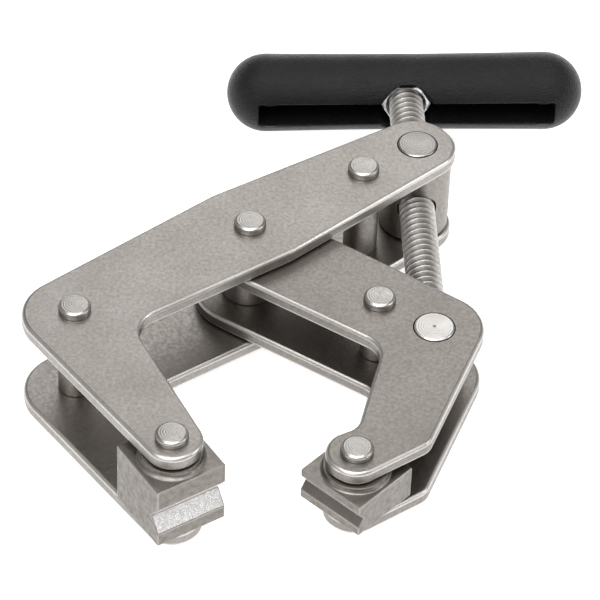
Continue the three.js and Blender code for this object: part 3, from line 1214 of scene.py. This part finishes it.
@dataclass
class TeeHandle:
    """The moulded grip with its long core slot, and the nut that locks it to the screw."""

    distance: float = 81.52
    length: float = 75.76
    radius: float = 8.28
    end_steps: int = 16
    waist: float = 0.25
    waist_steps: int = 12
    slot: tuple[float, float] = (62.8, 5.4)
    slot_floor: float = 1.2
    pocket: float = 5.9
    pocket_floor: float = -0.1
    screw_hole: float = 4.0
    screw_end: float = 4.9
    voxel: float = 0.3
    nut_corner: float = 5.3
    nut_flat: float = 0.9
    nut_over: float = 0.6
    nut_chamfer: float = 0.7
    nut_thickness: float = 4.0
    nut_front: float = 4.4
    nut_hole: float = 4.0
    sink_radius: float = 5.2
    sink_depth: float = 0.35

    def build(self) -> list[Thing]:
        """Makes the grip and the nut."""
        return [self._grip(), self._nut()]

    def _grip(self) -> Thing:
        """Makes the bar, cores it out and rounds every lip as a mould would.

        Returns:
            The grip.
        """
        straight = self.length / 2 - self.radius
        end = arc((0.0, -straight), self.radius, 270, 360, self.end_steps)
        steps = [2 * step / self.waist_steps - 1 for step in range(1, self.waist_steps)]
        waist = [(self.radius - self.waist * math.cos(s * math.pi / 2), s * straight) for s in steps]
        profile = end + waist + [(radius, -height) for radius, height in reversed(end)]
        grip = lathed("grip", profile)
        settled(grip, Matrix.Rotation(math.pi / 2, 4, "Y"))
        half, wide = self.slot[0] / 2, self.slot[1] / 2
        slot = cube((-half, -wide, -2 * self.radius), (half, wide, self.slot_floor))
        for helper in (
            slot,
            cylinder(self.pocket, -2 * self.radius, self.pocket_floor),
            cylinder(self.screw_hole, -2 * self.radius, self.screw_end),
        ):
            combined(grip, helper, Boolean.CUT)
        modified(grip, "REMESH", mode="VOXEL", voxel_size=self.voxel * MM)
        modified(grip, "SMOOTH", factor=0.5, iterations=3)
        settled(grip, on_screw(self.distance))
        return finished(painted(grip, Plastic()), "HandleGrip", Body.SPINDLE, Slot.PLASTIC, "handle_grip")

    def _nut(self) -> Thing:
        """Makes the hexagon nut, its corners turned off and its hole countersunk.

        Returns:
            The nut.
        """
        top = self.nut_thickness
        nut = cylinder(self.nut_corner, 0.0, top, 6)
        inner, outer = self.nut_corner * self.nut_flat, self.nut_corner + self.nut_over
        disc = [(0.0, 0.0), (inner, 0.0), (outer, self.nut_chamfer)]
        disc += [(outer, top - self.nut_chamfer), (inner, top), (0.0, top)]
        combined(nut, lathed("disc", disc), Boolean.KEEP)
        under, over = -OVERSHOOT, top + OVERSHOOT
        hole = [(0.0, under), (self.sink_radius, under), (self.nut_hole, self.sink_depth)]
        hole += [(self.nut_hole, top - self.sink_depth), (self.sink_radius, over), (0.0, over)]
        combined(nut, lathed("hole", hole), Boolean.CUT)
        settled(nut, Matrix.Rotation(math.pi / 2, 4, "Z"))
        settled(nut, on_screw(self.distance - self.nut_front))
        # Near-white steel: a painted highlight on the nut, which sits in the pocket's shade.
        painted(nut, NUT_SHEEN_STEEL)
        return finished(nut, "HandleLockNut", Body.SPINDLE, Slot.SCREW, "handle_lock_nut")


@dataclass(frozen=True)
class Softbox:
    """A square light that looks at the clamp, placed and sized in metres."""

    name: str
    place: tuple[float, float, float]
    size: float
    power: float


@dataclass
class Studio:
    """A pale floor, soft light from above and a long lens."""

    target: Vector = field(default_factory=lambda: Vector((-2.16, -7.29, 13.55)) * MM)
    distance: float = 0.74
    elevation: float = math.radians(43.2)
    roll: float = math.radians(2.3)
    lens: float = 222.0
    world: float = 0.42
    floor_size: float = 8.0
    floor_drop: float = 0.05 * MM
    floor_cloud: float = 6.0
    floor_rough: float = 0.9
    floor_glow: float = 0.8
    lights: tuple[Softbox, ...] = (
        Softbox("KeyLight", (-0.35, -0.75, 0.95), size=0.9, power=9.5),
        Softbox("TopLight", (0.0, -0.2, 1.0), size=0.8, power=9.5),
        Softbox("BackLight", (0.1, 0.9, 0.75), size=0.8, power=3.2),
        Softbox("SideLight", (0.9, -0.1, 0.5), size=0.5, power=3.0),
    )

    def build(self) -> None:
        """Sets up the whole studio."""
        self._floor()
        self._world()
        for softbox in self.lights:
            self._light(softbox)
        self._camera()
        bpy.context.scene.view_settings.view_transform = "Standard"

    def _floor(self) -> None:
        """Lays the floor, which isn't part of the clamp."""
        place = (0.0, 0.0, -self.floor_drop)
        bpy.ops.mesh.primitive_plane_add(size=self.floor_size, location=place)
        floor = settled(bpy.context.object)
        floor.name = "Floor"
        shader = Shader("PaleFloor")
        tone = shader.mixed(shader.noise(self.floor_cloud), FLOOR_DARK, FLOOR_LIGHT)
        glow = {"Emission_Color": WHITE, "Emission_Strength": self.floor_glow}
        made = shader.surface(Base_Color=tone, Roughness=self.floor_rough, **glow)
        floor.data.materials.append(made)

    def _world(self) -> None:
        """Surrounds the scene with a plain pale light."""
        world = bpy.data.worlds.new("PaleWorld")
        world.use_nodes = True
        background = world.node_tree.nodes["Background"]
        background.inputs["Color"].default_value = WHITE
        background.inputs["Strength"].default_value = self.world
        bpy.context.scene.world = world

    def _light(self, softbox: Softbox) -> None:
        """Hangs a light and points it at the clamp.

        Args:
            softbox: Its name, place, size and power.
        """
        data = bpy.data.lights.new(softbox.name, "AREA")
        data.size = softbox.size
        data.energy = softbox.power
        light = bpy.data.objects.new(softbox.name, data)
        light.location = softbox.place
        sight = self.target - Vector(softbox.place)
        light.rotation_euler = sight.to_track_quat("-Z", "Y").to_euler()
        bpy.context.collection.objects.link(light)

    def _camera(self) -> None:
        """Places the camera, rolled a little about its line of sight."""
        forward = Vector((0.0, math.cos(self.elevation), -math.sin(self.elevation)))
        level = Vector((0.0, math.sin(self.elevation), math.cos(self.elevation)))
        right = Vector((math.cos(self.roll), 0.0, 0.0)) + level * math.sin(self.roll)
        up = right.cross(forward)
        data = bpy.data.cameras.new("Camera")
        data.lens = self.lens
        data.sensor_width = 36.0
        data.clip_start = 0.01
        camera = bpy.data.objects.new("Camera", data)
        axes = Matrix((right, up, -forward)).transposed().to_4x4()
        camera.matrix_world = Matrix.Translation(self.target - forward * self.distance) @ axes
        bpy.context.collection.objects.link(camera)
        bpy.context.scene.camera = camera


# ---------------------------------------------------------------- the clamp

OUTER_RIVETS = ("elbow_rivet", "pivot_rivet", "rear_rivet", "outer_jaw_rivet")
INNER_RIVETS = ("inner_post_rivet", "inner_jaw_rivet")

OUTER_PLATES = PlatePair(
    "outer_plate",
    Body.OUTER_ARM,
    Slot.OUTER_PLATE,
    OUTER_STEEL,
    OUTER_RIVETS,
    "threaded_trunnion",
)
INNER_PLATES = PlatePair(
    "inner_plate",
    Body.INNER_ARM,
    Slot.INNER_PLATE,
    INNER_STEEL,
    ("pivot_rivet", *INNER_RIVETS),
    "swivel_trunnion",
)
RIVETS = Rivets(
    dict.fromkeys(OUTER_RIVETS, Body.OUTER_ARM) | dict.fromkeys(INNER_RIVETS, Body.INNER_ARM)
)
SLEEVES = Sleeves(
    {
        "elbow_spacer": Body.OUTER_ARM,
        "rear_spacer": Body.OUTER_ARM,
        "pivot_bush": Body.OUTER_ARM,
        "inner_spacer": Body.INNER_ARM,
    }
)
OUTER_JAW = Jaw(
    "outer_jaw",
    Body.OUTER_JAW,
    "outer_jaw_rivet",
    facing=-55.5,
    half_height=7.1,
    boss_top=8.35,
    boss_radius=5.9,
    groove_level=-0.8,
    groove_depth=2.5,
    groove_half_width=3.3,
)
INNER_JAW = Jaw(
    "inner_jaw",
    Body.INNER_JAW,
    "inner_jaw_rivet",
    facing=229.0,
    half_height=3.7,
    boss_top=4.8,
    boss_radius=6.4,
    groove_level=0.1,
    groove_depth=1.45,
    groove_half_width=1.85,
    flank=JAW_STEEL,
)
THREADED_TRUNNION = Trunnion(
    "threaded_trunnion",
    Body.THREADED_TRUNNION,
    drum_top=8.35,
    bore=4.05,
    bore_start=-14.4,
    drum=7.2,
)
SWIVEL_TRUNNION = Trunnion(
    "swivel_trunnion",
    Body.SWIVEL_TRUNNION,
    drum_top=4.8,
    bore=3.3,
    bore_start=-4.6,
    keeper=middle("spindle_keeper_pin"),
    dot=0.3 * MM,
    pin_tone=BRIGHT_LIGHT,
)


def main() -> None:
    """Builds every sub-assembly and the studio round it."""
    logging.basicConfig(level=logging.INFO, format="%(message)s")
    parts = (OUTER_PLATES, INNER_PLATES, RIVETS, SLEEVES, OUTER_JAW, INNER_JAW)
    parts += (THREADED_TRUNNION, SWIVEL_TRUNNION, Spindle(), TeeHandle())
    for part in parts:
        part.build()
    Studio().build()


if __name__ == "__main__":
    main()
